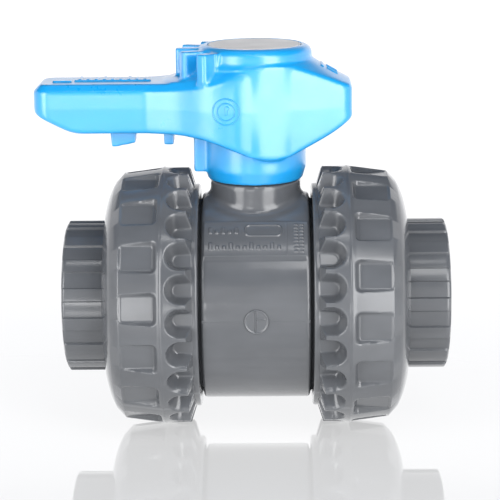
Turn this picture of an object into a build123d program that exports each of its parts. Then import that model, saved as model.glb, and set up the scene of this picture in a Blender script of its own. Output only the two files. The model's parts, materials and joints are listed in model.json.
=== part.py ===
from build123d import *
import os
from math import radians, sin, sqrt

# Double-union ball valve for 32 mm solvent-weld pipe, lever along the pipe, valve open.
# X runs along the pipe, Z up the stem, Y towards the back.  Origin: centre of the ball.
# All sizes are in millimetres.

# ---- pipe and flow passage ----
PIPE_SOCKET_RADIUS = 16.1
SOCKET_DEPTH = 22.0
SOCKET_CHAMFER = 0.8
FLOW_RADIUS = 12.5
PASSAGE_RADIUS = 12.7
END_X = 53.2

# ---- body ----
BARREL_RADIUS = 29.0
BARREL_HALF = 14.9
BODY_HALF = 28.45
CAVITY_RADIUS = 20.0
CARRIER_BORE = 21.6
CARRIER_LEDGE_X = 13.4
NECK_RADIUS = 12.5
NECK_TOP = 33.5
BOSS_RADIUS = 11.0
BOSS_TOP = 44.0
STOP_RADIUS = 9.4
STOP_ARC = 124.0
LABEL_HEIGHT = 0.35

# ---- union thread, the same right-hand helix on body and nut ----
PITCH = 4.0
THREAD_FROM_X = 17.0
THREAD_TURNS = 2.5
MALE_MAJOR = 28.4
MALE_MINOR = 26.9
NUT_BORE = 28.7
THREAD_DEPTH = 1.5
CREST_WIDTH = 1.2
FLANK_WIDTH = 2.3

# ---- ball and seats ----
BALL_RADIUS = 19.5
SEAT_OUTER = 18.0
SEAT_FRONT_X = 12.0
SEAT_BACK_X = 17.4
SEAT_RING_MID = 15.6
CARRIER_GROOVE_X = 21.0
BLADE_THICK = 5.9
BLADE_WIDTH = 14.0
BLADE_BOTTOM = 15.4
SLOT_BOTTOM = 15.0

# ---- stem ----
STEM_RADIUS = 7.0
STEM_BORE = 7.05
STEM_FLANGE_RADIUS = 9.4
STEM_FLANGE_BOTTOM = 20.2
STEM_FLANGE_TOP = 22.7
STEM_TOP = 57.6
DRIVE_FLAT = 5.0
STEM_RING_Z = (27.0, 32.5)

# ---- O-rings, squeezed to a rounded oblong in their grooves ----
RING_WIDTH = 2.4
RING_HEIGHT = 1.9
RING_CORNER = 0.8
GROOVE_WIDTH = 2.6

# ---- end connectors ----
FLANGE_RADIUS = 26.3
FLANGE_FACE_X = 28.5
FLANGE_BACK_X = 34.5
HUB_RADIUS = 20.55
HUB_RIB_RADIUS = 21.15
HUB_RIBS = 16
HUB_RIB_ARC = 9.8
HUB_RIB_START_LEFT = 10.2
HUB_RIB_START_RIGHT = 11.65
FACE_RING_MID = 24.0

# ---- union nuts ----
NUT_RIDGE_RADIUS = 36.0
NUT_RIDGE_X = 25.6
NUT_FACE_X = 15.6
NUT_END_X = 42.0
NUT_HOLE = 21.6
SHOULDER_X = 34.6
COLLAR_RADIUS = 31.4
LOBE_RADIUS = 35.4
SCALLOPS = 25
POCKETS = 16
NUT_PHASES_LEFT = (8.6, 13.3)
NUT_PHASES_RIGHT = (0.2, 0.7)
POCKET_DRAFT = 25.0
SCALLOP_DRAFT = 20.0

# ---- lever handle ----
ARM_HALF_WIDTH = 9.6
ARM_END_X = -60.4
ARM_TOP = 61.2
ARM_BOTTOM = 47.8
ARM_BEVEL = 1.9
HEAD_HALF_WIDTH = 18.4
HEAD_END_X = 26.6
HEAD_END_HALF_WIDTH = 9.8
CROWN_RADIUS = 15.85
CROWN_TOP = 71.0
CROWN_ROUND = 2.6
TOOTH_RADIUS = 21.6
TOOTH_BOTTOM = 62.3
TOOTH_TOP = 70.0
TOOTH_THICK = 3.4
TOOTH_ANGLES = (-48, -24, 0, 24, 48)
SKIRT_RADIUS = 14.1
SKIRT_BOTTOM = 33.9
SKIRT_CHAMFER_Z = 37.2
SKIRT_BOTTOM_RADIUS = 13.1
SKIRT_BORE = 11.35
WALL = 2.5
SHELL_TOP = 58.6
ARM_END_ROUND = 4.5
NOSE_ROUND = 3.0
LOWER_ROUND = 1.0

# ---- cap and screw ----
CAP_RADIUS = 12.75
CAP_THICK = 1.5
CAP_RECESS = 11.5
CAP_LEGS_BOTTOM = 64.5
SCREW_SEAT_Z = 60.0
SCREW_RADIUS = 2.45
SCREW_HEAD_RADIUS = 4.6
SCREW_HEAD_HEIGHT = 3.2
WASHER_RADIUS = 6.6
WASHER_THICK = 1.0


def turned(points):
    """Solid of revolution about X from (x, radius) corners."""
    profile = make_face(Polyline(*[(x, r) for x, r in points], close=True))
    return revolve(profile, axis=Axis.X)


def outline(pieces):
    """Face bounded by curves joined end to end."""
    return make_face([edge for piece in pieces for edge in piece.edges()])


def tube_x(x0, x1, outer, inner=0.0):
    """Round bar or tube along X."""
    ring = Circle(outer) - Circle(inner) if inner else Circle(outer)
    return Plane.YZ.offset(x0) * extrude(ring, x1 - x0)


def tube_z(z0, z1, outer, inner=0.0):
    """Round bar or tube along Z."""
    ring = Circle(outer) - Circle(inner) if inner else Circle(outer)
    return Pos(0, 0, z0) * extrude(ring, z1 - z0)


def block(x0, x1, y0, y1, z0, z1):
    """Rectangular block between two corners."""
    middle = Pos((x0 + x1) / 2, (y0 + y1) / 2, (z0 + z1) / 2)
    return middle * Box(x1 - x0, y1 - y0, z1 - z0)


def oring(radius, x):
    """O-ring squeezed along X: radius of its middle and its place on the axis."""
    section = Pos(x, radius) * RectangleRounded(RING_HEIGHT, RING_WIDTH, RING_CORNER)
    return revolve(section, axis=Axis.X)


def facing(side, solid):
    """Turn a solid made for the right-hand end round to the given end, keeping its thread hand."""
    return solid if side > 0 else Rot(0, 0, 180) * solid


def thread(root, crest, start_x, turns):
    """Right-hand trapezoidal thread ridge round X, from its root radius to its crest radius."""
    path = Helix(PITCH, PITCH * turns, root)
    half_crest = CREST_WIDTH / 2
    half_root = FLANK_WIDTH / 2
    slope = (half_root - half_crest) / (crest - root)
    sunk = root - 0.4 if crest > root else root + 0.4
    half_sunk = half_crest + slope * (crest - sunk)
    section = make_face(Polyline(
        (sunk, -half_sunk), (crest, -half_crest), (crest, half_crest), (sunk, half_sunk),
        close=True))
    ridge = sweep(Plane.XZ * section, path=path, is_frenet=True)
    return Pos(start_x, 0, 0) * Rot(0, 90, 0) * ridge


def label_panel():
    """Raised rating panel on the front of the barrel, under the neck."""
    ring = tube_x(-14.1, 14.3, BARREL_RADIUS + LABEL_HEIGHT, BARREL_RADIUS - 1)
    low = BARREL_RADIUS * sin(radians(34.8))
    high = BARREL_RADIUS * sin(radians(57.2))
    return ring & block(-20, 20, -40, 0, low, high)


def neck():
    """Neck with its filleted foot and the boss that carries the lever's stop."""
    column = tube_z(20, NECK_TOP, NECK_RADIUS) + tube_z(NECK_TOP, BOSS_TOP, BOSS_RADIUS)
    notch = Rot(0, 0, 180 - STOP_ARC + 17) * revolve(
        Plane.XZ * Pos((STOP_RADIUS + BOSS_RADIUS + 1) / 2, (NECK_TOP + 1 + BOSS_TOP + 1) / 2)
        * Rectangle(BOSS_RADIUS + 1 - STOP_RADIUS, BOSS_TOP - NECK_TOP),
        axis=Axis.Z, revolution_arc=STOP_ARC)
    return column - notch


def body():
    """Moulded centre body: barrel, threaded spigots, ball cavity and stem neck."""
    shell = turned([
        (-BODY_HALF, 0), (-BODY_HALF, MALE_MINOR - 0.8), (-BODY_HALF + 0.8, MALE_MINOR),
        (-BARREL_HALF, MALE_MINOR), (-BARREL_HALF, BARREL_RADIUS - 0.5),
        (-BARREL_HALF + 0.5, BARREL_RADIUS), (BARREL_HALF - 0.5, BARREL_RADIUS),
        (BARREL_HALF, BARREL_RADIUS - 0.5), (BARREL_HALF, MALE_MINOR),
        (BODY_HALF - 0.8, MALE_MINOR), (BODY_HALF, MALE_MINOR - 0.8), (BODY_HALF, 0)])
    shell += neck()
    foot = shell.edges().filter_by(lambda e: e.geom_type not in (GeomType.LINE, GeomType.CIRCLE)
                                   and e.center().Z > 20)
    shell = fillet(foot, 2.2)
    shell += label_panel()
    ridge = thread(MALE_MINOR, MALE_MAJOR, THREAD_FROM_X, THREAD_TURNS)
    for side in (-1, 1):
        shell += facing(side, ridge)
    shell -= tube_x(-BODY_HALF - 1, BODY_HALF + 1, PASSAGE_RADIUS)
    shell -= tube_x(-SEAT_FRONT_X - 0.4, BODY_HALF + 1, CAVITY_RADIUS)
    shell -= tube_x(-SEAT_BACK_X, 0, SEAT_OUTER + 0.05)
    shell -= tube_x(CARRIER_LEDGE_X, BODY_HALF + 1, CARRIER_BORE)
    shell -= seat_groove()
    shell -= tube_z(0, STEM_FLANGE_TOP + 0.2, STEM_FLANGE_RADIUS + 0.2)
    shell -= tube_z(0, BOSS_TOP + 1, STEM_BORE)
    return shell


def seat_groove():
    """Groove behind the left-hand seat for its backing O-ring."""
    return tube_x(-SEAT_BACK_X - RING_HEIGHT, -SEAT_BACK_X,
                  SEAT_RING_MID + GROOVE_WIDTH / 2, SEAT_RING_MID - GROOVE_WIDTH / 2)


def ball():
    """Full-bore ball with a slot across its top for the stem blade."""
    half_bore = sqrt(BALL_RADIUS ** 2 - FLOW_RADIUS ** 2)
    sphere = Sphere(BALL_RADIUS) - tube_x(-BALL_RADIUS, BALL_RADIUS, FLOW_RADIUS)
    slot = block(-BLADE_THICK / 2 - 0.05, BLADE_THICK / 2 + 0.05,
                 -half_bore, half_bore, SLOT_BOTTOM, BALL_RADIUS + 1)
    return sphere - slot


def seat():
    """Right-hand PTFE seat with a spherical face."""
    ring = tube_x(SEAT_FRONT_X, SEAT_BACK_X, SEAT_OUTER, PASSAGE_RADIUS)
    return ring - Rot(0, 90, 0) * Sphere(BALL_RADIUS + 0.05)


def seat_carrier():
    """Ring in the right-hand end of the body that holds the second seat."""
    inner_face = CARRIER_LEDGE_X
    outer_face = BODY_HALF - 0.2
    ring = tube_x(inner_face, outer_face, CARRIER_BORE - 0.05, PASSAGE_RADIUS)
    ring -= tube_x(inner_face, SEAT_BACK_X, SEAT_OUTER + 0.05)
    ring -= tube_x(SEAT_BACK_X, SEAT_BACK_X + RING_HEIGHT,
                   SEAT_RING_MID + GROOVE_WIDTH / 2, SEAT_RING_MID - GROOVE_WIDTH / 2)
    ring -= tube_x(CARRIER_GROOVE_X, CARRIER_GROOVE_X + GROOVE_WIDTH, CARRIER_BORE + 1,
                   CARRIER_BORE - RING_HEIGHT)
    for turn in (0, 180):
        ring -= Rot(turn, 0, 0) * block(outer_face - 3, outer_face + 1, -3, 3, 15, CARRIER_BORE)
    return ring


def stem():
    """Blow-out-proof stem: blade in the ball, flange under the neck, flats under the lever."""
    shaft = tube_z(STEM_FLANGE_BOTTOM, STEM_TOP, STEM_RADIUS)
    shaft += tube_z(STEM_FLANGE_BOTTOM, STEM_FLANGE_TOP, STEM_FLANGE_RADIUS)
    blade = block(-BLADE_THICK / 2, BLADE_THICK / 2, -BLADE_WIDTH / 2, BLADE_WIDTH / 2,
                  BLADE_BOTTOM, STEM_FLANGE_BOTTOM + 1)
    shaft += blade & tube_z(BLADE_BOTTOM, STEM_FLANGE_BOTTOM + 1, BLADE_WIDTH / 2)
    for side in (-1, 1):
        y_inner = DRIVE_FLAT * side
        y_outer = (STEM_RADIUS + 1) * side
        shaft -= block(-10, 10, min(y_inner, y_outer), max(y_inner, y_outer), BOSS_TOP + 0.3, 60)
    for z in STEM_RING_Z:
        shaft -= tube_z(z - GROOVE_WIDTH / 2, z + GROOVE_WIDTH / 2, STEM_RADIUS + 1,
                        STEM_RADIUS - RING_HEIGHT)
    return shaft - tube_z(STEM_TOP - 16, STEM_TOP + 1, SCREW_RADIUS + 0.05)


def stem_oring(z):
    """O-ring in a stem groove, touching the neck's bore."""
    section = Pos(STEM_RADIUS - RING_HEIGHT / 2, z) * RectangleRounded(
        RING_HEIGHT - 0.02, RING_WIDTH, RING_CORNER)
    return revolve(Plane.XZ * section, axis=Axis.Z)


def carrier_oring():
    """O-ring round the seat carrier."""
    section = Pos(CARRIER_GROOVE_X + GROOVE_WIDTH / 2, CARRIER_BORE - RING_HEIGHT / 2) * RectangleRounded(
        RING_WIDTH, RING_HEIGHT - 0.04, RING_CORNER)
    return revolve(section, axis=Axis.X)


def end_connector(rib_start):
    """Right-hand pipe socket with its union flange, pipe stop and gripping ribs."""
    hub = turned([
        (FLANGE_FACE_X, 0), (FLANGE_FACE_X, FLANGE_RADIUS - 0.6),
        (FLANGE_FACE_X + 0.6, FLANGE_RADIUS), (FLANGE_BACK_X, FLANGE_RADIUS),
        (FLANGE_BACK_X, HUB_RADIUS), (END_X - 0.8, HUB_RADIUS), (END_X, HUB_RADIUS - 0.8),
        (END_X, 0)])
    rib = revolve(
        Pos((FLANGE_BACK_X + END_X - 0.5) / 2, HUB_RADIUS - 1)
        * Rectangle(END_X - 0.5 - FLANGE_BACK_X, 2 * (HUB_RIB_RADIUS - HUB_RADIUS + 1)),
        axis=Axis.X, revolution_arc=HUB_RIB_ARC)
    for index in range(HUB_RIBS):
        hub += Rot(index * 360 / HUB_RIBS + rib_start, 0, 0) * rib
    stop_x = END_X - SOCKET_DEPTH
    hub -= tube_x(0, END_X + 1, PASSAGE_RADIUS)
    hub -= tube_x(stop_x, END_X + 1, PIPE_SOCKET_RADIUS)
    hub -= turned([
        (END_X - SOCKET_CHAMFER, 0), (END_X - SOCKET_CHAMFER, PIPE_SOCKET_RADIUS),
        (END_X, PIPE_SOCKET_RADIUS + SOCKET_CHAMFER), (END_X + 1, PIPE_SOCKET_RADIUS + 1),
        (END_X + 1, 0)])
    hub -= tube_x(FLANGE_FACE_X - 1, FLANGE_FACE_X + RING_HEIGHT,
                  FACE_RING_MID + GROOVE_WIDTH / 2, FACE_RING_MID - GROOVE_WIDTH / 2)
    return hub


def nut_outline():
    """Half section of a union nut: collar, lobe band, ridge, outer band and round shoulder."""
    shoulder_start = (33.6, LOBE_RADIUS)
    shoulder_end = (NUT_END_X, NUT_HOLE + 1.0)
    edges = [
        Polyline((NUT_FACE_X, NUT_BORE), (NUT_FACE_X, COLLAR_RADIUS - 0.4),
                 (NUT_FACE_X + 0.4, COLLAR_RADIUS), (17.1, COLLAR_RADIUS),
                 (18.6, LOBE_RADIUS), (NUT_RIDGE_X - 0.5, LOBE_RADIUS + 0.2),
                 (NUT_RIDGE_X - 0.2, NUT_RIDGE_RADIUS), (NUT_RIDGE_X + 0.2, NUT_RIDGE_RADIUS),
                 (NUT_RIDGE_X + 0.5, LOBE_RADIUS + 0.1), shoulder_start),
        Spline(shoulder_start, (38.1, 33.2), (40.6, 28.8), shoulder_end,
               tangents=[(1, -0.1), (0.2, -1)]),
        Polyline(shoulder_end, (NUT_END_X - 1.0, NUT_HOLE), (SHOULDER_X, NUT_HOLE),
                 (SHOULDER_X, NUT_BORE), (NUT_FACE_X, NUT_BORE))]
    return outline(edges)


def pocket():
    """Cutter for one flat-floored pocket of the outer band, at the top of the nut."""
    floor = Pos(31.8, 0, 33.5) * RectangleRounded(8.8, 7.4, 0.7)
    return extrude(floor, 4, taper=-POCKET_DRAFT)


def scallop():
    """Cutter for one U-shaped scallop of the lobe band, at the top of the nut."""
    apex_x = 22.4
    half_apex = 2.0
    half_mouth = 2.2
    arc_x = apex_x - half_apex
    floor = outline([
        Polyline((14, -half_mouth), (arc_x, -half_apex)),
        ThreePointArc((arc_x, -half_apex), (apex_x, 0), (arc_x, half_apex)),
        Polyline((arc_x, half_apex), (14, half_mouth), (14, -half_mouth))])
    return extrude(Pos(0, 0, COLLAR_RADIUS) * floor, 6, taper=-SCALLOP_DRAFT)


def union_nut(pocket_phase, scallop_phase):
    """Right-hand union nut."""
    nut = revolve(nut_outline(), axis=Axis.X)
    step = 360 / POCKETS
    nut -= [Rot(pocket_phase + step * i, 0, 0) * pocket() for i in range(POCKETS)]
    step = 360 / SCALLOPS
    nut -= [Rot(scallop_phase + step * i, 0, 0) * scallop() for i in range(SCALLOPS)]
    root = NUT_BORE
    nut += thread(root, root - THREAD_DEPTH, THREAD_FROM_X + PITCH / 2, THREAD_TURNS)
    return nut


def plan():
    """Outline of the lever seen from above: parallel arm, swelling head, blunt nose."""
    blend_x = -34.0
    peak = (-3.0, HEAD_HALF_WIDTH - 0.15)
    nose = (HEAD_END_X, HEAD_END_HALF_WIDTH)
    taper = (peak[0] - nose[0], peak[1] - nose[1])
    half = outline([
        Polyline((HEAD_END_X, 0), nose, peak),
        Spline(peak, (-9.0, HEAD_HALF_WIDTH - 0.4), (-12.7, 16.9), (-16.4, 15.1), (-22.0, 12.3),
               (-28.0, 10.3), (blend_x, ARM_HALF_WIDTH), tangents=[taper, (-1, 0)]),
        Polyline((blend_x, ARM_HALF_WIDTH), (ARM_END_X, ARM_HALF_WIDTH), (ARM_END_X, 0),
                 (HEAD_END_X, 0))])
    whole = half + mirror(half, about=Plane.XZ)
    by_x = whole.vertices().sort_by(Axis.X)
    whole = fillet(by_x[:2], ARM_END_ROUND)
    by_x = whole.vertices().sort_by(Axis.X)
    return fillet(by_x[-2:], NOSE_ROUND)


def side_profile():
    """Side view of arm and head: flat arm, brow rising to the crown, wavy lower edge."""
    tip_z = 53.6
    nose_z = 52.0
    brow_start = (-31.0, ARM_TOP)
    brow_end = (3.0, 68.6)
    edges = [
        Polyline((HEAD_END_X, nose_z), (HEAD_END_X, brow_end[1]), brow_end),
        Spline(brow_end, (-2.0, 66.8), (-8.0, 64.7), (-14.0, 63.0), (-20.0, 61.9), brow_start,
               tangents=[(-1, -0.36), (-1, 0)]),
        Polyline(brow_start, (ARM_END_X, ARM_TOP), (ARM_END_X, tip_z)),
        Spline((ARM_END_X, tip_z), (-58.0, 52.0), (-53.0, 49.45), (-47.0, ARM_BOTTOM),
               tangents=[(0.7, -0.7), (1, 0)]),
        Polyline((-47.0, ARM_BOTTOM), (-24, ARM_BOTTOM)),
        Spline((-24, ARM_BOTTOM), (-9, 45.4), (6.3, 41.1), (14, 44.0), (HEAD_END_X, nose_z),
               tangents=[(1, 0), (1, 1)])]
    return outline(edges)


def flare():
    """Envelope of the head's top: falls away from the crown in a hollow curve."""
    rim = (28.0, 60.5)
    inner = (15.0, 67.85)
    edges = [
        Polyline((0, 30), (70, 30), (70, rim[1]), rim),
        ThreePointArc(rim, (20.5, 64.35), inner),
        Polyline(inner, (0, inner[1]), (0, 30))]
    return revolve(Plane.XZ * outline(edges), axis=Axis.Z)


def handle_outer():
    """Arm and head as one solid block, bevelled along the top and rounded underneath."""
    base_z = 35.0
    brow_end = 4.0
    whole = Pos(0, 0, base_z) * extrude(plan(), 45) & extrude(
        Plane.XZ * side_profile(), 25, both=True)
    top = whole.edges().filter_by(lambda e: e.bounding_box().min.Z > ARM_TOP - 1
                                  and e.bounding_box().max.X < brow_end
                                  and (abs(e.center().Y) > 6.5 or e.center().X < ARM_END_X + 1))
    whole = chamfer(top, ARM_BEVEL)
    rim = whole.edges().filter_by(lambda e: e.center().Z < ARM_BOTTOM + 5.5
                                  and abs(e.center().Y) > 1)
    whole = fillet(rim, LOWER_ROUND)
    return whole - (block(-16, 40, -30, 30, 55, 80) - flare())


def handle_cavity():
    """Hollow underside, open downwards, with walls of even thickness."""
    side = [(ARM_END_X + WALL, 7.1), (-31.0, 7.1), (-22.0, 9.4), (-16.4, 12.2), (-9.5, 15.0),
            (-3.0, 15.5), (1.0, 14.6), (HEAD_END_X - 3.6, 8.0), (HEAD_END_X - WALL, 7.0)]
    other = [(x, -y) for x, y in reversed(side)]
    return Pos(0, 0, 35) * extrude(make_face(Polyline(*side, *other, close=True)), SHELL_TOP - 35)


def handle_ribs():
    """Stiffening ribs, the two key lugs under the arm and the pointer tab on the skirt."""
    ribs = block(ARM_END_X + 5, -13, -0.9, 0.9, ARM_BOTTOM + 2, SHELL_TOP + 1)
    for x in (-52.0, -45.0, -29.5):
        ribs += block(x - 0.9, x + 0.9, -ARM_HALF_WIDTH + 1, ARM_HALF_WIDTH - 1,
                      ARM_BOTTOM + 2, SHELL_TOP + 1)
    ribs += block(-1, 1, -16, 16, 46, SHELL_TOP + 1)
    ribs += block(12, HEAD_END_X - 1.5, -0.9, 0.9, 50, SHELL_TOP + 1)
    return ribs


def key_lugs():
    """Two lugs under the arm that fit the slots of the seat carrier."""
    top = SHELL_TOP + 1
    far = Polyline((-39.5, 43.1), (-33.0, 44.3), (-32.6, ARM_BOTTOM), (-32.6, top), (-40.0, top),
                   (-40.0, ARM_BOTTOM), (-39.5, 43.1))
    near = Polyline((-25.1, 43.7), (-22.4, 43.7), (-22.1, top), (-25.4, top), (-25.1, 43.7))
    return extrude(Plane.XZ * (outline([far]) + outline([near])), 4, both=True)


def skirt():
    """Round skirt that covers the neck, with its chamfered foot."""
    profile = make_face(Plane.XZ * Polyline(
        (0, SKIRT_BOTTOM), (SKIRT_BOTTOM_RADIUS, SKIRT_BOTTOM), (SKIRT_RADIUS, SKIRT_CHAMFER_Z),
        (SKIRT_RADIUS, SHELL_TOP + 1), (0, SHELL_TOP + 1), close=True))
    tab = block(-16.9, -11.5, -5, 5, 36.3, SHELL_TOP + 1)
    return revolve(profile, axis=Axis.Z) + tab


def crown():
    """Round crown with a hollow foot and radial grip teeth on the arm's side."""
    top = tube_z(55, CROWN_TOP, CROWN_RADIUS)
    rim = top.edges().filter_by(GeomType.CIRCLE).sort_by(Axis.Z)[-1]
    top = fillet(rim, CROWN_ROUND)
    foot_rim = (24.5, 61.9)
    foot_top = (CROWN_RADIUS - 0.3, 68.3)
    foot = outline([
        Polyline((0, 60), (foot_rim[0], 60), foot_rim),
        ThreePointArc(foot_rim, (18.4, 64.2), foot_top),
        Polyline(foot_top, (0, foot_top[1]), (0, 60))])
    side = [(-25.0, 8.9), (-20.0, 10.8), (-16.0, 12.9), (-12.7, 14.5), (-9.0, 15.6), (-3.0, 16.0),
            (-0.1, 15.8)]
    other = [(x, -y) for x, y in reversed(side)]
    limit = extrude(make_face(Polyline(*side, *other, close=True)), 80)
    top += revolve(Plane.XZ * foot, axis=Axis.Z) & limit
    for angle in TOOTH_ANGLES:
        tooth = block(-TOOTH_RADIUS, -CROWN_RADIUS + 4, -TOOTH_THICK / 2, TOOTH_THICK / 2,
                      TOOTH_BOTTOM, TOOTH_TOP)
        edges = tooth.edges().filter_by(Axis.Z).sort_by(Axis.X)[:2]
        top += Rot(0, 0, angle) * fillet(edges, 0.6)
    return top


def stop_lug():
    """Lug inside the skirt that meets the ends of the neck's notch."""
    lug = revolve(Plane.XZ * Pos((STOP_RADIUS + 0.3 + SKIRT_BORE + 1) / 2, 39.5)
                  * Rectangle(SKIRT_BORE + 1 - STOP_RADIUS - 0.3, 8.0),
                  axis=Axis.Z, revolution_arc=30)
    return Rot(0, 0, 180 - 15) * lug


def lever_handle():
    """One-piece lever: arm, head, crown, skirt, ribs and key lugs."""
    shell = handle_outer()
    shell -= handle_cavity()
    inside = extrude(Plane.XZ * side_profile(), 25, both=True)
    shell += (handle_ribs() & inside & (Pos(0, 0, 35) * extrude(plan(), 45)))
    shell += key_lugs()
    shell += skirt()
    shell += crown()
    shell -= tube_z(0, BOSS_TOP + 0.4, SKIRT_BORE)
    shell += stop_lug()
    drive = tube_z(BOSS_TOP, STEM_TOP + 0.2, STEM_RADIUS + 0.05)
    shell -= drive & block(-10, 10, -DRIVE_FLAT - 0.05, DRIVE_FLAT + 0.05, 0, 80)
    shell -= tube_z(50, 80, SCREW_RADIUS + 0.2)
    shell -= tube_z(SCREW_SEAT_Z, 80, 8.0)
    shell -= tube_z(63.5, 80, CAP_RECESS)
    shell -= tube_z(CROWN_TOP - CAP_THICK, 80, CAP_RADIUS + 0.05)
    return shell


def handle_cap():
    """Snap-in cap over the handle screw."""
    disc = tube_z(CROWN_TOP - CAP_THICK, CROWN_TOP, CAP_RADIUS)
    legs = tube_z(CAP_LEGS_BOTTOM, CROWN_TOP - CAP_THICK, CAP_RECESS - 0.05, CAP_RECESS - 1.6)
    for turn in (0, 60, 120):
        legs -= Rot(0, 0, turn) * block(-15, 15, -2, 2, CAP_LEGS_BOTTOM - 1, 68.5)
    return disc + legs


def handle_screw():
    """Pan-head screw that holds the lever on the stem."""
    head_bottom = SCREW_SEAT_Z + WASHER_THICK
    head = tube_z(head_bottom, head_bottom + SCREW_HEAD_HEIGHT, SCREW_HEAD_RADIUS)
    head = fillet(head.edges().filter_by(GeomType.CIRCLE).sort_by(Axis.Z)[-1], 1.4)
    for turn in (0, 90):
        head -= Rot(0, 0, turn) * block(-2.4, 2.4, -0.55, 0.55, head_bottom + 1.2, 70)
    return head + tube_z(STEM_TOP - 13, head_bottom + 0.5, SCREW_RADIUS)


def handle_washer():
    """Washer under the screw head."""
    return tube_z(SCREW_SEAT_Z, SCREW_SEAT_Z + WASHER_THICK, WASHER_RADIUS, SCREW_RADIUS + 0.1)


def face_oring():
    """O-ring between the right-hand connector's flange and the body."""
    return oring(FACE_RING_MID, FLANGE_FACE_X + RING_HEIGHT / 2)


def seat_oring():
    """O-ring behind the right-hand seat."""
    return oring(SEAT_RING_MID, SEAT_BACK_X + RING_HEIGHT / 2)


PARTS = {
    "body": body,
    "ball": ball,
    "ball_seat_left": lambda: facing(-1, seat()),
    "ball_seat_right": seat,
    "seat_oring_left": lambda: facing(-1, seat_oring()),
    "seat_oring_right": seat_oring,
    "seat_carrier": seat_carrier,
    "carrier_oring": carrier_oring,
    "stem": stem,
    "stem_oring_lower": lambda: stem_oring(STEM_RING_Z[0]),
    "stem_oring_upper": lambda: stem_oring(STEM_RING_Z[1]),
    "lever_handle": lever_handle,
    "handle_cap": handle_cap,
    "handle_screw": handle_screw,
    "handle_washer": handle_washer,
    "end_connector_left": lambda: facing(-1, end_connector(HUB_RIB_START_LEFT)),
    "end_connector_right": lambda: end_connector(HUB_RIB_START_RIGHT),
    "face_oring_left": lambda: facing(-1, face_oring()),
    "face_oring_right": face_oring,
    "union_nut_left": lambda: facing(-1, union_nut(*NUT_PHASES_LEFT)),
    "union_nut_right": lambda: union_nut(*NUT_PHASES_RIGHT),
}

os.makedirs("parts", exist_ok=True)
for name, make in PARTS.items():
    export_step(make(), f"parts/{name}.step")
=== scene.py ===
import json
from math import cos, radians, sin, tau

import bpy
import numpy as np
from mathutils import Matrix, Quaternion, Vector
from mathutils.bvhtree import BVHTree


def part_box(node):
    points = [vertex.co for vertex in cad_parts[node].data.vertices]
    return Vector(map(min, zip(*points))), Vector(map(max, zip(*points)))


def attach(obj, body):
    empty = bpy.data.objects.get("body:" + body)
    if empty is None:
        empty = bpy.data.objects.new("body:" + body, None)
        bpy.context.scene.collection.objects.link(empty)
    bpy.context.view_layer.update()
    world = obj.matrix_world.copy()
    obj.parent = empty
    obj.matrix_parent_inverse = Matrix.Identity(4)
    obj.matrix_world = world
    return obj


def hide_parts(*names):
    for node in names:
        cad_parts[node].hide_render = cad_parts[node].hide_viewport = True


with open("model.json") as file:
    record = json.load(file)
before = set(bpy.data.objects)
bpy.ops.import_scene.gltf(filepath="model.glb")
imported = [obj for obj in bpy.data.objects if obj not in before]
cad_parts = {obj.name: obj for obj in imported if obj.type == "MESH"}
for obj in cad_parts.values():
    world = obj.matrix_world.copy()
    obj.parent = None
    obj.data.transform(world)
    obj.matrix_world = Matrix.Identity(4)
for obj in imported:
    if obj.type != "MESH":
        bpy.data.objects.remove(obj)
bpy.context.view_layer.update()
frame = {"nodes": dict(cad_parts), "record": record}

# Double-union ball valve with a lever.  Lengths below are in millimetres; MM turns them into
# metres.  X runs along the pipe and Z up the stem.  Angles round the pipe start at the front
# and rise towards the top, in degrees.  Round parts are drawn for the right-hand end of the
# pipe and mirrored for the left-hand one.
MM = 0.001

# ---- body ----
BARREL_RADIUS = 29.0
BARREL_HALF_LENGTH = 14.4
PANEL_X = (-14.1, 14.3)
PANEL_ANGLES = (34.8, 57.2)
PANEL_HEIGHT = 0.35
GATE_X = 0.1
GATE_RADIUS = 3.45

# ---- union nuts ----
NUT_FACE_X = 15.6
NUT_END_X = 42.0
NUT_BORE = 28.7
NUT_HOLE = 21.6
NUT_HOLE_EDGE = 0.5       # how far the shoulder stands out from the hole at the nut's end
NUT_STEP_X = 34.6
COLLAR_RADIUS = 31.4
COLLAR_END_X = 17.1
BAND_RADIUS = 36.15
BAND_START_X = 18.6
RIDGE_X = 25.6
RIDGE_HEIGHT = 0.18
RIDGE_SPREAD = 0.42
SHOULDER_X = 33.5
NUT_COLUMNS = 660         # points round a nut
POCKET_STEP = 360 / 16    # degrees from one pocket to the next
POCKET_X = 31.7
POCKET_HALF = (4.5, 3.7)  # along the pipe and across
POCKET_FLOOR = 34.3
SCALLOP_STEP = 360 / 25
SCALLOP_X = 20.4          # centre of the round end
SCALLOP_HALF = 2.0
THREAD_START_X = 19.0
THREAD_PITCH = 4.0
THREAD_TURNS = 2.5
THREAD_HEIGHT = 1.5

# ---- end connectors ----
CONNECTOR_FACE_X = 28.5
FLANGE_BACK_X = 34.5
FLANGE_RADIUS = 26.3
CONNECTOR_END_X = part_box("end_connector_right")[1].x / MM
HUB_RADIUS = 20.55
HUB_EDGE = 0.9            # rounding of the hub's end
HUB_COLUMNS = 720
RIB_STEP = 360 / 16
RIB_HALF_WIDTH = 1.8
RIB_HEIGHT = 0.6
SOCKET_RADIUS = 16.1
SOCKET_DEPTH = 22.0
SOCKET_STOP_X = CONNECTOR_END_X - SOCKET_DEPTH
PASSAGE_RADIUS = 12.7
GROOVE_RADII = (22.7, 25.3)
GROOVE_DEPTH = 1.9

# Middle angle of a pocket, a scallop and a socket rib at each end, for side -1 and 1.
END_ANGLES = {-1: (8.6, -11.9, 15.1), 1: (-0.2, -11.5, 5.95)}

# ---- lever ----
PARTING_Z = 54.8
DRAFT = 0.0030            # share of the width lost per millimetre from the parting line
HEAD_PASSES = 14          # extra relaxing of the head's upper edges
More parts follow.
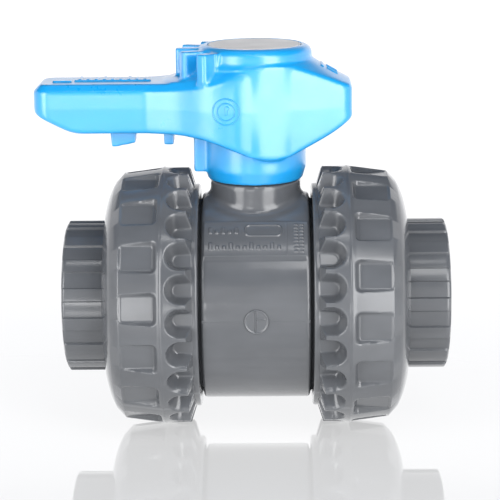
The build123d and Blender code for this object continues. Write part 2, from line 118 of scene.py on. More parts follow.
# Where the shaping of the lever fades in, from none to full.  Reach is measured from the stem.
HEAD_FADE_X = (-12, -6)
HEAD_FADE_REACH = (17.2, 18.6)
HEAD_FADE_Z = (52.5, 54.5)
WALL_FADE_REACH = (16.8, 17.8)
ARM_FADE_X = (17.0, 19.0)
SKIRT_FADE_Z = (40, 44)
STAMP_X, STAMP_Z = -7.6, 55.0

# ---- rounded edges of the body, lever and cap ----
VOXEL = 0.5
CAP_VOXEL = 0.25
SOFT_PASSES = 2

# ---- studio ----
FLOOR_GAP = 1.8           # photo shows air between the nuts and their reflection
FLOOR_HALF = 6.0          # metres
FLOOR_LIFT = 0.56         # glow of the table as the camera sees it
FLOOR_LIFT_UNSEEN = 1.05  # and as the valve sees it
HORIZON = (1.20, 1.20, 1.22)
CEILING = (0.05, 0.08, 0.13)
CEILING_START = (0.34, 0.46)
CAMERA_PLACE = (3.5, -482.8, 130.0)
CAMERA_TARGET = (-1.74, 0.0, 12.8)
CAMERA_ROLL = 0.6
CAMERA_LENS = 126.9
CAMERA_SENSOR = 36.0


def smooth_min(a, b, blend):
    """Lower of two surfaces, with the edge where they cross rounded over."""
    share = np.clip(0.5 + 0.5 * (b - a) / blend, 0, 1)
    return b + (a - b) * share - blend * share * (1 - share)


def smooth_max(a, b, blend):
    """Higher of two surfaces, with the edge where they cross rounded over."""
    return -smooth_min(-a, -b, blend)


def ramp(value, low, high):
    """Smooth step from 0 at low to 1 at high."""
    t = np.clip((value - low) / (high - low), 0, 1)
    return t * t * (3 - 2 * t)


def wrapped(angle, centre, step):
    """Angle from the nearest of the marks that repeat every step."""
    return (angle - centre + step / 2) % step - step / 2


def rounded_box(u, v, centre_u, centre_v, half_u, half_v, corner):
    """Distance from the edge of a rectangle with rounded corners, negative inside."""
    du = abs(u - centre_u) - (half_u - corner)
    dv = abs(v - centre_v) - (half_v - corner)
    outside = np.hypot(np.maximum(du, 0), np.maximum(dv, 0))
    return outside + np.minimum(np.maximum(du, dv), 0) - corner


def new_piece(name, points, faces, body, material, smooth_angle=None):
    """Mesh object from points in millimetres, riding on a body."""
    mesh = bpy.data.meshes.new(name)
    mesh.from_pydata(np.asarray(points) * MM, [], faces)
    mesh.validate()
    mesh.shade_smooth()
    if smooth_angle is not None:
        mesh.set_sharp_from_angle(angle=radians(smooth_angle))
    piece = bpy.data.objects.new(name, mesh)
    bpy.context.scene.collection.objects.link(piece)
    mesh.materials.append(material)
    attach(piece, body)
    return piece


# ---------------------------------------------------------------- materials

def link(tree, source, target):
    tree.links.new(source, target)


def add(tree, kind, **values):
    """New node with its settings; names of sockets are given with spaces as underscores."""
    node = tree.nodes.new(kind)
    for key, value in values.items():
        if hasattr(node, key):
            setattr(node, key, value)
        else:
            node.inputs[key.replace("_", " ")].default_value = value
    return node


def noise(tree, place, scale, detail=3.0, rough=0.55, stretch=None):
    """Noise texture at a scale given in features per metre."""
    if stretch is not None:
        mapping = add(tree, "ShaderNodeMapping")
        mapping.inputs["Scale"].default_value = stretch
        link(tree, place, mapping.inputs["Vector"])
        place = mapping.outputs["Vector"]
    node = add(tree, "ShaderNodeTexNoise", Scale=scale, Detail=detail, Roughness=rough)
    link(tree, place, node.inputs["Vector"])
    return node.outputs["Fac"]


def spread(tree, source, low, high, from_low=0.3, from_high=0.7):
    """Noise value spread over a new range."""
    node = add(tree, "ShaderNodeMapRange", From_Min=from_low, From_Max=from_high,
               To_Min=low, To_Max=high)
    link(tree, source, node.inputs["Value"])
    return node.outputs["Result"]


def tinted(tree, factor, dark, light):
    """Colour between two shades."""
    node = tree.nodes.new("ShaderNodeMix")
    node.data_type = "RGBA"
    node.inputs["A"].default_value = (*dark, 1)
    node.inputs["B"].default_value = (*light, 1)
    link(tree, factor, node.inputs["Factor"])
    return node.outputs["Result"]


def moulded(name, colour, roughness, variation, grain, edge_wear_and_highlight=0.0, coat=0.0,
            coat_rough=0.08):
    """Injection-moulded plastic: soft flow marks, skin grain, edges painted a little lighter,
    partly as worn edges and partly as a painted highlight.
    grain is the height of the grain in metres."""
    material = bpy.data.materials.new(name)
    material.use_nodes = True
    tree = material.node_tree
    shader = tree.nodes["Principled BSDF"]
    place = add(tree, "ShaderNodeTexCoord").outputs["Object"]
    cloud = noise(tree, place, 42, detail=4)
    flow = noise(tree, place, 160, detail=2, stretch=(0.35, 1.0, 1.0))
    both = add(tree, "ShaderNodeMath", operation="ADD")
    link(tree, cloud, both.inputs[0])
    link(tree, flow, both.inputs[1])
    shade = spread(tree, both.outputs[0], 0, 1, 0.75, 1.25)
    dark = [c * (1 - variation) for c in colour]
    light = [min(1.0, c * (1 + variation)) for c in colour]
    base = tinted(tree, shade, dark, light)
    # Edges are painted lighter by pointiness: partly worn edges, partly a painted highlight along
    # the rounded edges.
    if edge_wear_and_highlight:
        geometry = add(tree, "ShaderNodeNewGeometry")
        rubbed_and_highlit = spread(tree, geometry.outputs["Pointiness"], 0, edge_wear_and_highlight, 0.52, 0.62)
        pale = [min(1.0, c * 1.6 + 0.04) for c in colour]
        wear_and_highlight = tree.nodes.new("ShaderNodeMix")
        wear_and_highlight.data_type = "RGBA"
        wear_and_highlight.inputs["B"].default_value = (*pale, 1)
        link(tree, base, wear_and_highlight.inputs["A"])
        link(tree, rubbed_and_highlit, wear_and_highlight.inputs["Factor"])
        base = wear_and_highlight.outputs["Result"]
    link(tree, base, shader.inputs["Base Color"])
    smear = noise(tree, place, 90, detail=5, rough=0.65)
    link(tree, spread(tree, smear, roughness * 0.82, roughness * 1.25),
         shader.inputs["Roughness"])
    fine = noise(tree, place, 2600, detail=2)
    wave = noise(tree, place, 75, detail=1)
    bump_fine = add(tree, "ShaderNodeBump", Strength=1.0, Distance=grain)
    bump_wave = add(tree, "ShaderNodeBump", Strength=1.0, Distance=grain * 10)
    link(tree, wave, bump_wave.inputs["Height"])
    link(tree, fine, bump_fine.inputs["Height"])
    link(tree, bump_wave.outputs["Normal"], bump_fine.inputs["Normal"])
    link(tree, bump_fine.outputs["Normal"], shader.inputs["Normal"])
    shader.inputs["Coat Weight"].default_value = coat
    shader.inputs["Coat Roughness"].default_value = coat_rough
    return material


def steel(name):
    """Turned stainless steel: fine circular tool marks."""
    material = bpy.data.materials.new(name)
    material.use_nodes = True
    tree = material.node_tree
    shader = tree.nodes["Principled BSDF"]
    place = add(tree, "ShaderNodeTexCoord").outputs["Object"]
    rings = add(tree, "ShaderNodeTexWave", wave_type="RINGS", rings_direction="Z", Scale=900,
                Distortion=1.5, Detail=2.0)
    link(tree, place, rings.inputs["Vector"])
    cloud = noise(tree, place, 300, detail=4)
    link(tree, tinted(tree, spread(tree, cloud, 0, 1), (0.50, 0.50, 0.49), (0.66, 0.66, 0.65)),
         shader.inputs["Base Color"])
    link(tree, spread(tree, rings.outputs["Fac"], 0.24, 0.38, 0, 1), shader.inputs["Roughness"])
    bump = add(tree, "ShaderNodeBump", Strength=0.6, Distance=0.00001)
    link(tree, rings.outputs["Fac"], bump.inputs["Height"])
    link(tree, bump.outputs["Normal"], shader.inputs["Normal"])
    shader.inputs["Metallic"].default_value = 1.0
    return material


# The grey's edges are painted lighter: partly worn edges, partly a painted highlight.
PVC = moulded("pvc_grey", (0.076, 0.080, 0.087), 0.16, 0.09, 0.000010, edge_wear_and_highlight=0.25)
BLUE = moulded("handle_blue", (0.004, 0.255, 0.580), 0.32, 0.05, 0.000008, coat=1.0,
               coat_rough=0.26)
CAP = moulded("cap_beige", (0.60, 0.58, 0.565), 0.42, 0.06, 0.000014)
BALL = moulded("ball_pvc", (0.085, 0.090, 0.098), 0.12, 0.06, 0.000004)
PTFE = moulded("ptfe_white", (0.78, 0.77, 0.74), 0.38, 0.04, 0.000010)
RUBBER = moulded("rubber_black", (0.018, 0.018, 0.019), 0.55, 0.25, 0.00002)
STEEL = steel("steel")
FINISHES = {"pvc_grey": PVC, "ball_pvc": BALL, "handle_blue": BLUE, "cap_beige": CAP,
            "ptfe_white": PTFE, "rubber_black": RUBBER, "steel": STEEL}


def paint_nodes():
    """Give each CAD node the finish of its own slot in the record."""
    for entry in frame["record"]["subparts"]:
        node = frame["nodes"][entry["node"]]
        node.data.materials.clear()
        node.data.materials.append(FINISHES[entry["material_slot"]])


# ---------------------------------------------------------------- round parts

def along(points, step):
    """Points of a polyline with each stretch cut into even lengths no longer than its step."""
    result = []
    for (start, end), length in zip(zip(points[:-1], points[1:]), step):
        start, end = np.array(start, float), np.array(end, float)
        count = max(1, int(np.ceil(np.linalg.norm(end - start) / length)))
        result += [tuple(start + (end - start) * i / count) for i in range(count)]
    return result


def skin_round_x(loop, columns, shape, side):
    """Closed skin round X.  loop is a ring of (x, radius) and shape(x, radius, angle) trims
    it.  side is 1 for the right-hand end of the pipe and -1 for the left-hand one."""
    angle = np.arange(columns) * 360 / columns
    x = np.array([p[0] for p in loop])[:, None] + 0 * angle
    radius = np.array([p[1] for p in loop])[:, None] + 0 * angle
    radius = shape(x, radius, angle[None, :] + 0 * x)
    turn = np.radians(angle)
    points = np.stack([side * x, -radius * np.cos(turn), radius * np.sin(turn)], axis=-1)
    rows = len(loop)
    row, column = np.meshgrid(np.arange(rows), np.arange(columns), indexing="ij")
    next_row, next_column = (row + 1) % rows, (column + 1) % columns
    corners = [row * columns + column, next_row * columns + column,
               next_row * columns + next_column, row * columns + next_column]
    if side < 0:
        corners.reverse()
    faces = np.stack(corners, axis=-1).reshape(-1, 4)
    return points.reshape(-1, 3), faces.tolist()


def shoulder_radius(x):
    """Outer band and the round shoulder of a union nut, close to a quarter oval."""
    along_shoulder = np.clip((x - SHOULDER_X) / (NUT_END_X - SHOULDER_X), 0, 1)
    fall = (1 - along_shoulder ** 2) ** 0.59      # 0.5 would be a true oval
    return NUT_HOLE + NUT_HOLE_EDGE + (BAND_RADIUS - NUT_HOLE - NUT_HOLE_EDGE) * fall


def pocket_surface(x, angle, centre):
    """Flat-floored rectangular pockets of the outer band."""
    slope, middle_radius, corner = 2.14, 35.0, 0.8
    off = np.radians(wrapped(angle, centre, POCKET_STEP))
    edge = rounded_box(x, middle_radius * np.tan(off), POCKET_X, 0, *POCKET_HALF, corner)
    return (POCKET_FLOOR + slope * smooth_max(edge, 0 * edge, 0.3)) / np.cos(off)


def scallop_surface(x, angle, centre):
    """U-shaped scallops of the grip band, open towards the collar."""
    slope, middle_radius, opening = 2.75, 33.5, 0.035
    off = np.radians(wrapped(angle, centre, SCALLOP_STEP))
    across = middle_radius * np.tan(off)
    straight = abs(across) - SCALLOP_HALF - opening * (SCALLOP_X - x)
    end = np.hypot(x - SCALLOP_X, across) - SCALLOP_HALF
    edge = np.where(x > SCALLOP_X, end, straight)
    return (COLLAR_RADIUS + slope * smooth_max(edge, 0 * edge, 0.3)) / np.cos(off)


def thread_ridge(x, angle):
    """Right-hand thread: share of the full thread height at each point, 0 to 1."""
    half_foot, flank, taper = 1.2, 0.62, 0.12     # taper is in turns
    turned = ((-90 - angle) % 360) / 360
    height = np.zeros_like(x)
    for lap in range(int(THREAD_TURNS) + 1):
        centre = THREAD_START_X + THREAD_PITCH * (turned + lap)
        inside = ramp(turned + lap, 0.0, taper)
        inside = inside * ramp(THREAD_TURNS - turned - lap, 0.0, taper)
        height = np.maximum(height, inside * ramp(half_foot - abs(x - centre), 0, flank))
    return height


def nut_loop():
    """Ring of points round the half section of a union nut."""
    outer = [(NUT_FACE_X, COLLAR_RADIUS - 0.5), (NUT_FACE_X + 0.15, COLLAR_RADIUS - 0.15),
             (NUT_FACE_X + 0.5, COLLAR_RADIUS), (COLLAR_END_X, COLLAR_RADIUS),
             (BAND_START_X, BAND_RADIUS), (RIDGE_X - 0.6, BAND_RADIUS),
             (RIDGE_X + 0.6, BAND_RADIUS), (37.0, shoulder_radius(37.0))]
    points = along(outer, [0.3, 0.3, 0.4, 0.3, 0.3, 0.17, 0.33])
    sweep = np.linspace(0.45, 1.0, 24)
    for share in sweep[:-1]:
        x = SHOULDER_X + (NUT_END_X - SHOULDER_X) * np.sin(share * tau / 4)
        if x > points[-1][0]:
            points.append((x, float(shoulder_radius(x))))
    inner = [(NUT_END_X, NUT_HOLE + NUT_HOLE_EDGE), (NUT_END_X - 0.3, NUT_HOLE),
             (NUT_STEP_X, NUT_HOLE),
             (NUT_STEP_X, NUT_BORE), (NUT_FACE_X + 0.3, NUT_BORE), (NUT_FACE_X, NUT_BORE + 0.3),
             (NUT_FACE_X, COLLAR_RADIUS - 0.5)]
    return points + along(inner, [0.4, 2.5, 2.4, 0.62, 0.4, 0.9])


def union_nut(side, pocket_centre, scallop_centre):
    """Union nut with its grip band, pockets and internal thread."""
    pocket_blend, scallop_blend, smooth_angle = 0.38, 0.42, 50

    def shape(x, radius, angle):
        outer = radius > NUT_BORE + 1.0
        band = radius + RIDGE_HEIGHT * np.exp(-((x - RIDGE_X) / RIDGE_SPREAD) ** 2)
        cut = smooth_min(band, pocket_surface(x, angle, pocket_centre), pocket_blend)
        cut = smooth_min(cut, scallop_surface(x, angle, scallop_centre), scallop_blend)
        cut = np.where((x > COLLAR_END_X - 0.1) & outer, cut, radius)
        bore = abs(radius - NUT_BORE) < 0.01
        ridge = thread_ridge(x, (180 - angle) if side < 0 else angle)
        return np.where(bore, radius - THREAD_HEIGHT * ridge, np.where(outer, cut, radius))

    points, faces = skin_round_x(nut_loop(), NUT_COLUMNS, shape, side)
    end = "right" if side > 0 else "left"
    piece = new_piece(f"nut_{end}_moulding", points, faces, f"nut_{end}", PVC,
                      smooth_angle)
    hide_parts(f"union_nut_{end}")


def connector_loop():
    """Ring of points round the half section of a pipe socket with its flange."""
    end = CONNECTOR_END_X
    groove_inner, groove_outer = GROOVE_RADII
    groove_x = CONNECTOR_FACE_X + GROOVE_DEPTH
    outer = [(CONNECTOR_FACE_X, PASSAGE_RADIUS + 0.3), (CONNECTOR_FACE_X, groove_inner),
             (groove_x, groove_inner), (groove_x, groove_outer),
             (CONNECTOR_FACE_X, groove_outer), (CONNECTOR_FACE_X, FLANGE_RADIUS - 0.5),
             (CONNECTOR_FACE_X + 0.5, FLANGE_RADIUS), (FLANGE_BACK_X - 0.3, FLANGE_RADIUS),
             (FLANGE_BACK_X, FLANGE_RADIUS - 0.3), (FLANGE_BACK_X, HUB_RADIUS),
             (end - HUB_EDGE, HUB_RADIUS)]
    points = along(outer, [3, 0.7, 0.9, 0.7, 0.6, 0.35, 2.5, 0.3, 1.6, 0.5])
    for share in np.linspace(0, 1, 6):
        turn = share * tau / 4
        points.append((end - HUB_EDGE + HUB_EDGE * sin(turn),
                       HUB_RADIUS - HUB_EDGE + HUB_EDGE * cos(turn)))
    inner = [(end, HUB_RADIUS - HUB_EDGE - 0.05), (end, SOCKET_RADIUS + 0.9),
             (end - 0.25, SOCKET_RADIUS + 0.75), (end - 0.9, SOCKET_RADIUS + 0.12),
             (end - 1.2, SOCKET_RADIUS + 0.06), (SOCKET_STOP_X + 0.3, SOCKET_RADIUS - 0.05),
             (SOCKET_STOP_X, SOCKET_RADIUS - 0.35), (SOCKET_STOP_X, PASSAGE_RADIUS + 0.4),
             (SOCKET_STOP_X - 0.4, PASSAGE_RADIUS), (CONNECTOR_FACE_X + 0.3, PASSAGE_RADIUS),
             (CONNECTOR_FACE_X, PASSAGE_RADIUS + 0.3)]
    return points + along(inner, [0.8, 0.3, 0.35, 0.35, 1.2, 0.4, 0.9, 0.4, 0.9, 0.4])


def end_connector(side, rib_centre):
    """Pipe socket with raised gripping ribs along its hub."""
    rib_slope, rib_fade, smooth_angle = 0.14, 0.75, 40

    def shape(x, radius, angle):
        off = np.radians(wrapped(angle, rib_centre, RIB_STEP)) * HUB_RADIUS
        rib = RIB_HEIGHT * ramp(RIB_HALF_WIDTH - abs(off), -rib_slope, rib_slope)
        fade = 1 - ramp(x, CONNECTOR_END_X - rib_fade, CONNECTOR_END_X)
        on_hub = (x > FLANGE_BACK_X - 0.01) & (radius > HUB_RADIUS - HUB_EDGE - 0.05)
        on_hub &= radius < HUB_RADIUS + 0.3
        return radius + np.where(on_hub, rib * fade, 0)

    points, faces = skin_round_x(connector_loop(), HUB_COLUMNS, shape, side)
    end = "right" if side > 0 else "left"
    piece = new_piece(f"connector_{end}_moulding", points, faces, f"connector_{end}",
                      PVC, smooth_angle)
    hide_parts(f"end_connector_{end}")


# ---------------------------------------------------------------- softened mouldings

def relax(points, edges, passes, weight=0.5):
    """Even out a mesh: each pass moves every point towards the middle of its neighbours."""
    first, second = edges[:, 0], edges[:, 1]
    count = np.bincount(edges.ravel(), minlength=len(points))[:, None]
    for _ in range(passes):
        total = np.zeros_like(points)
        for axis in range(3):
            total[:, axis] = (
                np.bincount(first, points[second, axis], minlength=len(points))
                + np.bincount(second, points[first, axis], minlength=len(points)))
        points = points + weight * (total / count - points)
    return points


def softened(node, name, voxel, body, material, reshape=None):
    """CAD node with its edges rounded as a mould leaves them: meshed evenly, then relaxed."""
    source = frame["nodes"][node]
    block = bpy.data.objects.new(name, source.data.copy())
    bpy.context.scene.collection.objects.link(block)
    even = block.modifiers.new("even", "REMESH")
    even.mode = "VOXEL"
    even.voxel_size = voxel * MM
    depsgraph = bpy.context.evaluated_depsgraph_get()
    mesh = bpy.data.meshes.new_from_object(block.evaluated_get(depsgraph))
    block.modifiers.clear()
    block.data = mesh
    mesh.name = name
    points = np.empty(len(mesh.vertices) * 3)
    mesh.vertices.foreach_get("co", points)
    points = points.reshape(-1, 3) / MM
    edges = np.empty(len(mesh.edges) * 2, int)
    mesh.edges.foreach_get("vertices", edges)
    edges = edges.reshape(-1, 2)
    points = relax(points, edges, SOFT_PASSES)
    if reshape is not None:
        points = reshape(points, edges)
    mesh.vertices.foreach_set("co", (points * MM).ravel())
    mesh.shade_smooth()
    mesh.materials.clear()
    mesh.materials.append(material)
    mesh.update()
    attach(block, body)
    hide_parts(node)
    return block


def drafted_handle(points, edges):
    """Rounder edges on top of the head, and the draft of the side walls above and below
    the line where the two halves of the mould meet."""
    reach = np.hypot(points[:, 0], points[:, 1])
    on_head = ramp(points[:, 0], *HEAD_FADE_X) * ramp(reach, *HEAD_FADE_REACH)
    on_head *= ramp(points[:, 2], *HEAD_FADE_Z)
    rounder = relax(points, edges, HEAD_PASSES)
    points = points + on_head[:, None] * (rounder - points)
    side_wall = np.maximum(ramp(reach, *WALL_FADE_REACH), ramp(-points[:, 0], *ARM_FADE_X))
    side_wall *= ramp(points[:, 2], *SKIRT_FADE_Z)
    draft = 1 - DRAFT * side_wall * abs(points[:, 2] - PARTING_Z)
    points[:, 1] *= draft
    return points


# ---------------------------------------------------------------- raised marks

def relief(name, u, v, height, place, body, material):
    """Thin closed slab over a grid: its top follows the given heights, its rim is sunk."""
    sunk = -0.6
    grid_u, grid_v = np.meshgrid(u, v, indexing="ij")
    top = height(grid_u, grid_v)
    points = np.concatenate([place(grid_u, grid_v, top).reshape(-1, 3),
                             place(grid_u, grid_v, top * 0 + sunk).reshape(-1, 3)])
    rows, columns = len(u), len(v)
    size = rows * columns
    index = np.arange(size).reshape(rows, columns)
    a, b = index[:-1, :-1].ravel(), index[1:, :-1].ravel()
    c, d = index[1:, 1:].ravel(), index[:-1, 1:].ravel()
    faces = np.stack([a, b, c, d], axis=-1).tolist()
    faces += (np.stack([d, c, b, a], axis=-1) + size).tolist()
    rim = np.concatenate([index[:-1, 0], index[-1, :-1], index[:0:-1, -1], index[0, :0:-1]])
    following = np.roll(rim, -1)
    faces += np.stack([following, rim, rim + size, following + size], axis=-1).tolist()
    return new_piece(name, points, faces, body, material)


def on_barrel(u, v, h):
    """Point on the barrel: u along the pipe, v the angle, h above the surface."""
    radius = BARREL_RADIUS + h
    turn = np.radians(v)
    return np.stack([u, -radius * np.cos(turn), radius * np.sin(turn)], axis=-1)


def raised(edge, tall, slope=0.12):
    """Height of a mark with sloping, softly rounded sides, from its distance to its edge."""
    return tall * ramp(-edge, -slope, slope)


def steps(low, high, step):
    """Even run of values from low to high."""
    return np.linspace(low, high, int(round((high - low) / step)) + 1)


def rating_panel():
    """Raised panel under the neck, with plain tick marks where ratings would stand."""
    middle_x = sum(PANEL_X) / 2
    half_x = (PANEL_X[1] - PANEL_X[0]) / 2
    middle_v = sum(PANEL_ANGLES) / 2
    arc = radians(1) * BARREL_RADIUS
    half_w, foot = 5.67, 0.4
    upper_row, lower_row, first_bar_x = 2.35, -2.6, -12.2
    tall_bar, short_bar, bar_half = 1.05, 0.6, 0.42
    dots_x, dots_w, dot_step = (10.9, 12.4), -4.2, 1.05

    def height(u, v):
        w = (v - middle_v) * arc
        panel = rounded_box(u, w, middle_x, 0, half_x, half_w, 0.5)
        surface = raised(panel, PANEL_HEIGHT + foot + 0.05, 0.2) - foot
        oblong = abs(rounded_box(u, w, 2.1, upper_row, 4.9, 1.75, 1.4)) - 0.16
        marks = raised(oblong, 0.30)
        for row, count, step, every in ((upper_row, 5, 1.75, 2), (lower_row, 11, 1.85, 3)):
            for i in range(count):
                tall = tall_bar if i % every == 0 else short_bar
                bar = rounded_box(u, w, first_bar_x + i * step, row - (tall_bar - tall),
                                  bar_half, tall, 0.3)
                marks = np.maximum(marks, raised(bar, 0.32))
        for i in range(9):
            for dot_x in dots_x:
                dot = rounded_box(u, w, dot_x, dots_w + i * dot_step, 0.5, 0.26, 0.2)
                marks = np.maximum(marks, raised(dot, 0.24))
        line = np.maximum(abs(u - 8.4) - 0.09, abs(w) - 5.2)
        marks = np.maximum(marks, raised(line, 0.08, 0.08))
        return surface + marks

    u = steps(PANEL_X[0] - 0.3, PANEL_X[1] + 0.3, 0.13)
    v = steps(PANEL_ANGLES[0] - 0.6, PANEL_ANGLES[1] + 0.6, 0.26)
    relief("rating_panel", u, v, height, on_barrel, "valve_body", PVC)


def gate_mark():
    """Trimmed gate scar on the front of the barrel, a disc with a slit and a bar."""
    arc = radians(1) * BARREL_RADIUS

    def height(u, v):
        w = v * arc
        away = np.hypot(u - GATE_X, w)
        disc = raised(away - GATE_RADIUS, 0.72, 0.14) - 0.45
        rim = raised(abs(away - GATE_RADIUS + 0.35) - 0.2, 0.20, 0.15)
        slit = raised(np.maximum(abs(u + 0.25) - 0.28, abs(w) - 2.9), 0.44, 0.14)
        bar = raised(np.maximum(abs(w - 0.7) - 0.16, abs(u - 1.2) - 1.2), 0.22, 0.12)
        return disc + rim - slit + bar

    u = steps(-3.8, 4.0, 0.12)
    v = steps(-7.7, 7.7, 0.24)
    relief("gate_mark", u, v, height, on_barrel, "valve_body", PVC)


def parting_lines():
    """Fine flash lines along the barrel, front and back, where the mould halves met."""
    end = BARREL_HALF_LENGTH
    spans = [("front", 0.0, -end, GATE_X - 3.4), ("front", 0.0, GATE_X + 3.4, end),
             ("back", 180.0, -end, end)]
    for i, (name, angle, low, high) in enumerate(spans):
        def height(u, v):
            w = (v - angle) * radians(1) * BARREL_RADIUS
            line = np.maximum(abs(w) - 0.10, abs(u - (low + high) / 2) - (high - low) / 2)
            return raised(line, 0.14, 0.10) - 0.08
        relief(f"parting_line_{name}_{i}", steps(low - 0.3, high + 0.3, 0.3),
               steps(angle - 0.7, angle + 0.7, 0.1), height, on_barrel, "valve_body",
               PVC)


def on_surface(target, towards, start):
    """Placing function for marks that lie on a curved piece, found by looking along a line.
    start(u, v) gives the point outside the piece where each line begins, in millimetres."""
    longest = 80.0
    mesh = target.data
    tree = BVHTree.FromPolygons([v.co for v in mesh.vertices],
                                [p.vertices for p in mesh.polygons])
    direction = Vector(towards).normalized()

    def place(u, v, h):
        begin = start(u, v).reshape(-1, 3)
        heights = h.ravel()
        result = np.empty_like(begin)
        for i, point in enumerate(begin):
            hit, _, _, _ = tree.ray_cast(Vector(point * MM), direction, longest * MM)
            found = np.array(hit) / MM if hit is not None else point + np.array(direction) * 20
            result[i] = found - np.array(direction) * heights[i]
        return result.reshape(*u.shape, 3)
    return place


def handle_marks(handle):
    """Moulder's round stamp on the side of the head, and plain bars on top of the lever."""
    sunk = 0.1       # how far the flat between the marks lies inside the lever

    def stamp_height(u, v):
        mark = 0.38
        away = np.hypot(u, v)
        outer = raised(abs(away - 3.5) - 0.18, mark)
        inner = raised(abs(away - 2.3) - 0.15, mark)
        pointer = raised(rounded_box(u, v, 0.1, 0.3, 0.30, 1.2, 0.25), mark)
        head = raised(np.hypot(u - 0.3, v - 1.0) - 0.55, mark)
        marks = np.maximum(np.maximum(outer, inner), np.maximum(pointer, head))
        return marks - sunk - 0.5 * ramp(away, 3.8, 4.1)

    grid = steps(-4.2, 4.2, 0.12)
    place = on_surface(handle, (0, 1, 0), lambda u, v: np.stack(
        [u + STAMP_X, 0 * u - 40, v + STAMP_Z], axis=-1))
    relief("mould_stamp", grid, grid, stamp_height, place, "lever", BLUE)

    def bar_height(u, v):
        mark, slope = 0.5, 0.14
        marks = raised(rounded_box(u, v, -39.0, -1.5, 10.5, 0.35, 0.3), mark, slope)
        block = rounded_box(u, v, -52.8, -1.2, 2.6, 1.7, 0.3)
        marks = np.maximum(marks, raised(block, mark, slope))
        for i in range(9):
            half = 2.9 if i % 3 == 0 else 2.2
            bar = rounded_box(u, v, -48.2 + i * 2.25, 0.1 + half, 0.5, half, 0.4)
            marks = np.maximum(marks, raised(bar, mark, slope))
        return marks - sunk

    place = on_surface(handle, (0, 0, -1), lambda u, v: np.stack([u, v, 0 * u + 80], axis=-1))
    relief("lever_top_marks", steps(-55.9, -28.0, 0.16), steps(-3.4, 6.4, 0.16), bar_height,
           place, "lever", BLUE)

    def nose_height(u, v):
        mark, slope = 0.4, 0.14
        marks = raised(rounded_box(u, v, 18.6, 0.0, 0.45, 4.2, 0.3), mark, slope)
        for across in (-3.0, 0.0, 3.0):
            bar = rounded_box(u, v, 21.3, across, 1.5, 0.45, 0.3)
            marks = np.maximum(marks, raised(bar, mark, slope))
        return marks - sunk

    relief("nose_marks", steps(17.9, 23.2, 0.14), steps(-4.6, 4.6, 0.14), nose_height,
           place, "lever", BLUE)


# ---------------------------------------------------------------- studio

def aim(thing, place, target):
    """Stand a light or camera at a place, looking at a target, both in millimetres."""
    thing.location = Vector(place) * MM
    direction = (Vector(target) - Vector(place)).normalized()
    thing.rotation_mode = "QUATERNION"
    thing.rotation_quaternion = direction.to_track_quat("-Z", "Y")


def softbox(name, place, target, width, height, radiance):
    """Rectangular studio light; its power follows from how bright its face looks."""
    data = bpy.data.lights.new(name, "AREA")
    data.shape = "RECTANGLE"
    data.size = width * MM
    data.size_y = height * MM
    data.energy = radiance * width * height * MM * MM * tau / 2
    light = bpy.data.objects.new(name, data)
    bpy.context.scene.collection.objects.link(light)
    aim(light, place, target)
    light.visible_camera = False


def studio_floor():
    """Polished light table: a lit white sheet that mirrors the valve."""
    low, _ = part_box("union_nut_left")
    half = FLOOR_HALF
    mesh = bpy.data.meshes.new("table_top")
    corners = [(-half, -half), (half, -half), (half, half), (-half, half)]
    mesh.from_pydata([(x, y, low.z - FLOOR_GAP * MM) for x, y in corners], [], [(0, 1, 2, 3)])
    table = bpy.data.objects.new("table_top", mesh)
    bpy.context.scene.collection.objects.link(table)
    material = bpy.data.materials.new("table_white")
    material.use_nodes = True
    tree = material.node_tree
    shader = tree.nodes["Principled BSDF"]
    place = add(tree, "ShaderNodeTexCoord").outputs["Object"]
    cloud = noise(tree, place, 4, detail=3)
    link(tree, tinted(tree, spread(tree, cloud, 0, 1), (0.20, 0.20, 0.20), (0.22, 0.22, 0.22)),
         shader.inputs["Base Color"])
    link(tree, spread(tree, cloud, 0.01, 0.02), shader.inputs["Roughness"])
    seen = add(tree, "ShaderNodeLightPath").outputs["Is Camera Ray"]
    link(tree, spread(tree, seen, FLOOR_LIFT_UNSEEN, FLOOR_LIFT, 0, 1),
         shader.inputs["Emission Strength"])
    shader.inputs["Coat Weight"].default_value = 1.0
    shader.inputs["Coat Roughness"].default_value = 0.01
    shader.inputs["Emission Color"].default_value = (1, 1, 1, 1)
    mesh.materials.append(material)


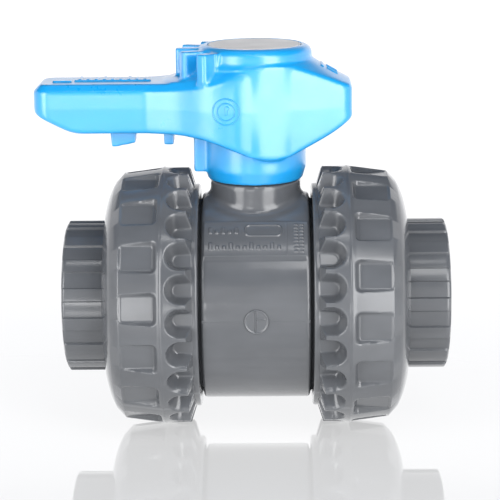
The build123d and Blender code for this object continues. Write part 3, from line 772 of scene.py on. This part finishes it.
def studio_world():
    """White sweep all round at table height, fading to a dim ceiling.  The camera sees it
    plain white."""
    world = bpy.data.worlds.new("studio")
    bpy.context.scene.world = world
    world.use_nodes = True
    tree = world.node_tree
    background = tree.nodes["Background"]
    place = add(tree, "ShaderNodeTexCoord").outputs["Generated"]
    parts = add(tree, "ShaderNodeSeparateXYZ")
    link(tree, place, parts.inputs["Vector"])
    start, end = CEILING_START
    rise = add(tree, "ShaderNodeMapRange", interpolation_type="SMOOTHSTEP", From_Min=start,
               From_Max=end)
    link(tree, parts.outputs["Z"], rise.inputs["Value"])
    room = tinted(tree, rise.outputs["Result"], HORIZON, CEILING)
    seen = add(tree, "ShaderNodeLightPath").outputs["Is Camera Ray"]
    paper = tree.nodes.new("ShaderNodeMix")
    paper.data_type = "RGBA"
    paper.inputs["B"].default_value = (1.0, 1.0, 1.0, 1)
    link(tree, room, paper.inputs["A"])
    link(tree, seen, paper.inputs["Factor"])
    link(tree, paper.outputs["Result"], background.inputs["Color"])


def studio_lights():
    """Two tall softboxes at the front, a card that lights the side of the arm, a high box and
    a narrow strip for the highlights on the round parts, and weak light from above and behind."""
    for name, azimuth, distance, width, radiance in (
            ("softbox_left", -43, 430, 190, 6.6), ("softbox_right", 33, 400, 210, 7.4)):
        place = (distance * sin(radians(azimuth)), -distance * cos(radians(azimuth)), 140)
        softbox(name, place, (0, 0, 80), width, 400, radiance)
    for name, place, target, width, height, radiance in (
            ("reflector_card", (-95, -430, 22), (-40, 0, 57), 110, 50, 8.0),
            ("softbox_high", (80, -300, 325), (30, 0, 10), 150, 90, 6.0),
            ("strip_light", (0, -197, 404), (0, 0, 0), 220, 20, 9.0),
            ("softbox_top", (0, 120, 620), (0, 0, 30), 420, 220, 0.4),
            ("softbox_back", (150, 460, 460), (0, 0, 30), 400, 200, 0.25)):
        softbox(name, place, target, width, height, radiance)


def studio_camera():
    """Camera at the photograph's place, found from the outlines of the round parts."""
    data = bpy.data.cameras.new("camera")
    data.sensor_width = CAMERA_SENSOR
    data.lens = CAMERA_LENS
    data.clip_start = 0.01
    camera = bpy.data.objects.new("camera", data)
    bpy.context.scene.collection.objects.link(camera)
    aim(camera, CAMERA_PLACE, CAMERA_TARGET)
    roll = Quaternion((0, 0, -1), radians(CAMERA_ROLL))
    camera.rotation_quaternion = camera.rotation_quaternion @ roll
    bpy.context.scene.camera = camera
    bpy.context.scene.view_settings.view_transform = "Standard"


paint_nodes()
for side, (pocket_angle, scallop_angle, rib_angle) in END_ANGLES.items():
    union_nut(side, pocket_angle, scallop_angle)
    end_connector(side, rib_angle)
handle = softened("lever_handle", "lever_moulding", VOXEL, "lever", BLUE,
                  drafted_handle)
softened("handle_cap", "cap_moulding", CAP_VOXEL, "lever", CAP)
softened("body", "body_moulding", VOXEL, "valve_body", PVC)
handle_marks(handle)
rating_panel()
gate_mark()
parting_lines()
studio_floor()
studio_world()
studio_lights()
studio_camera()
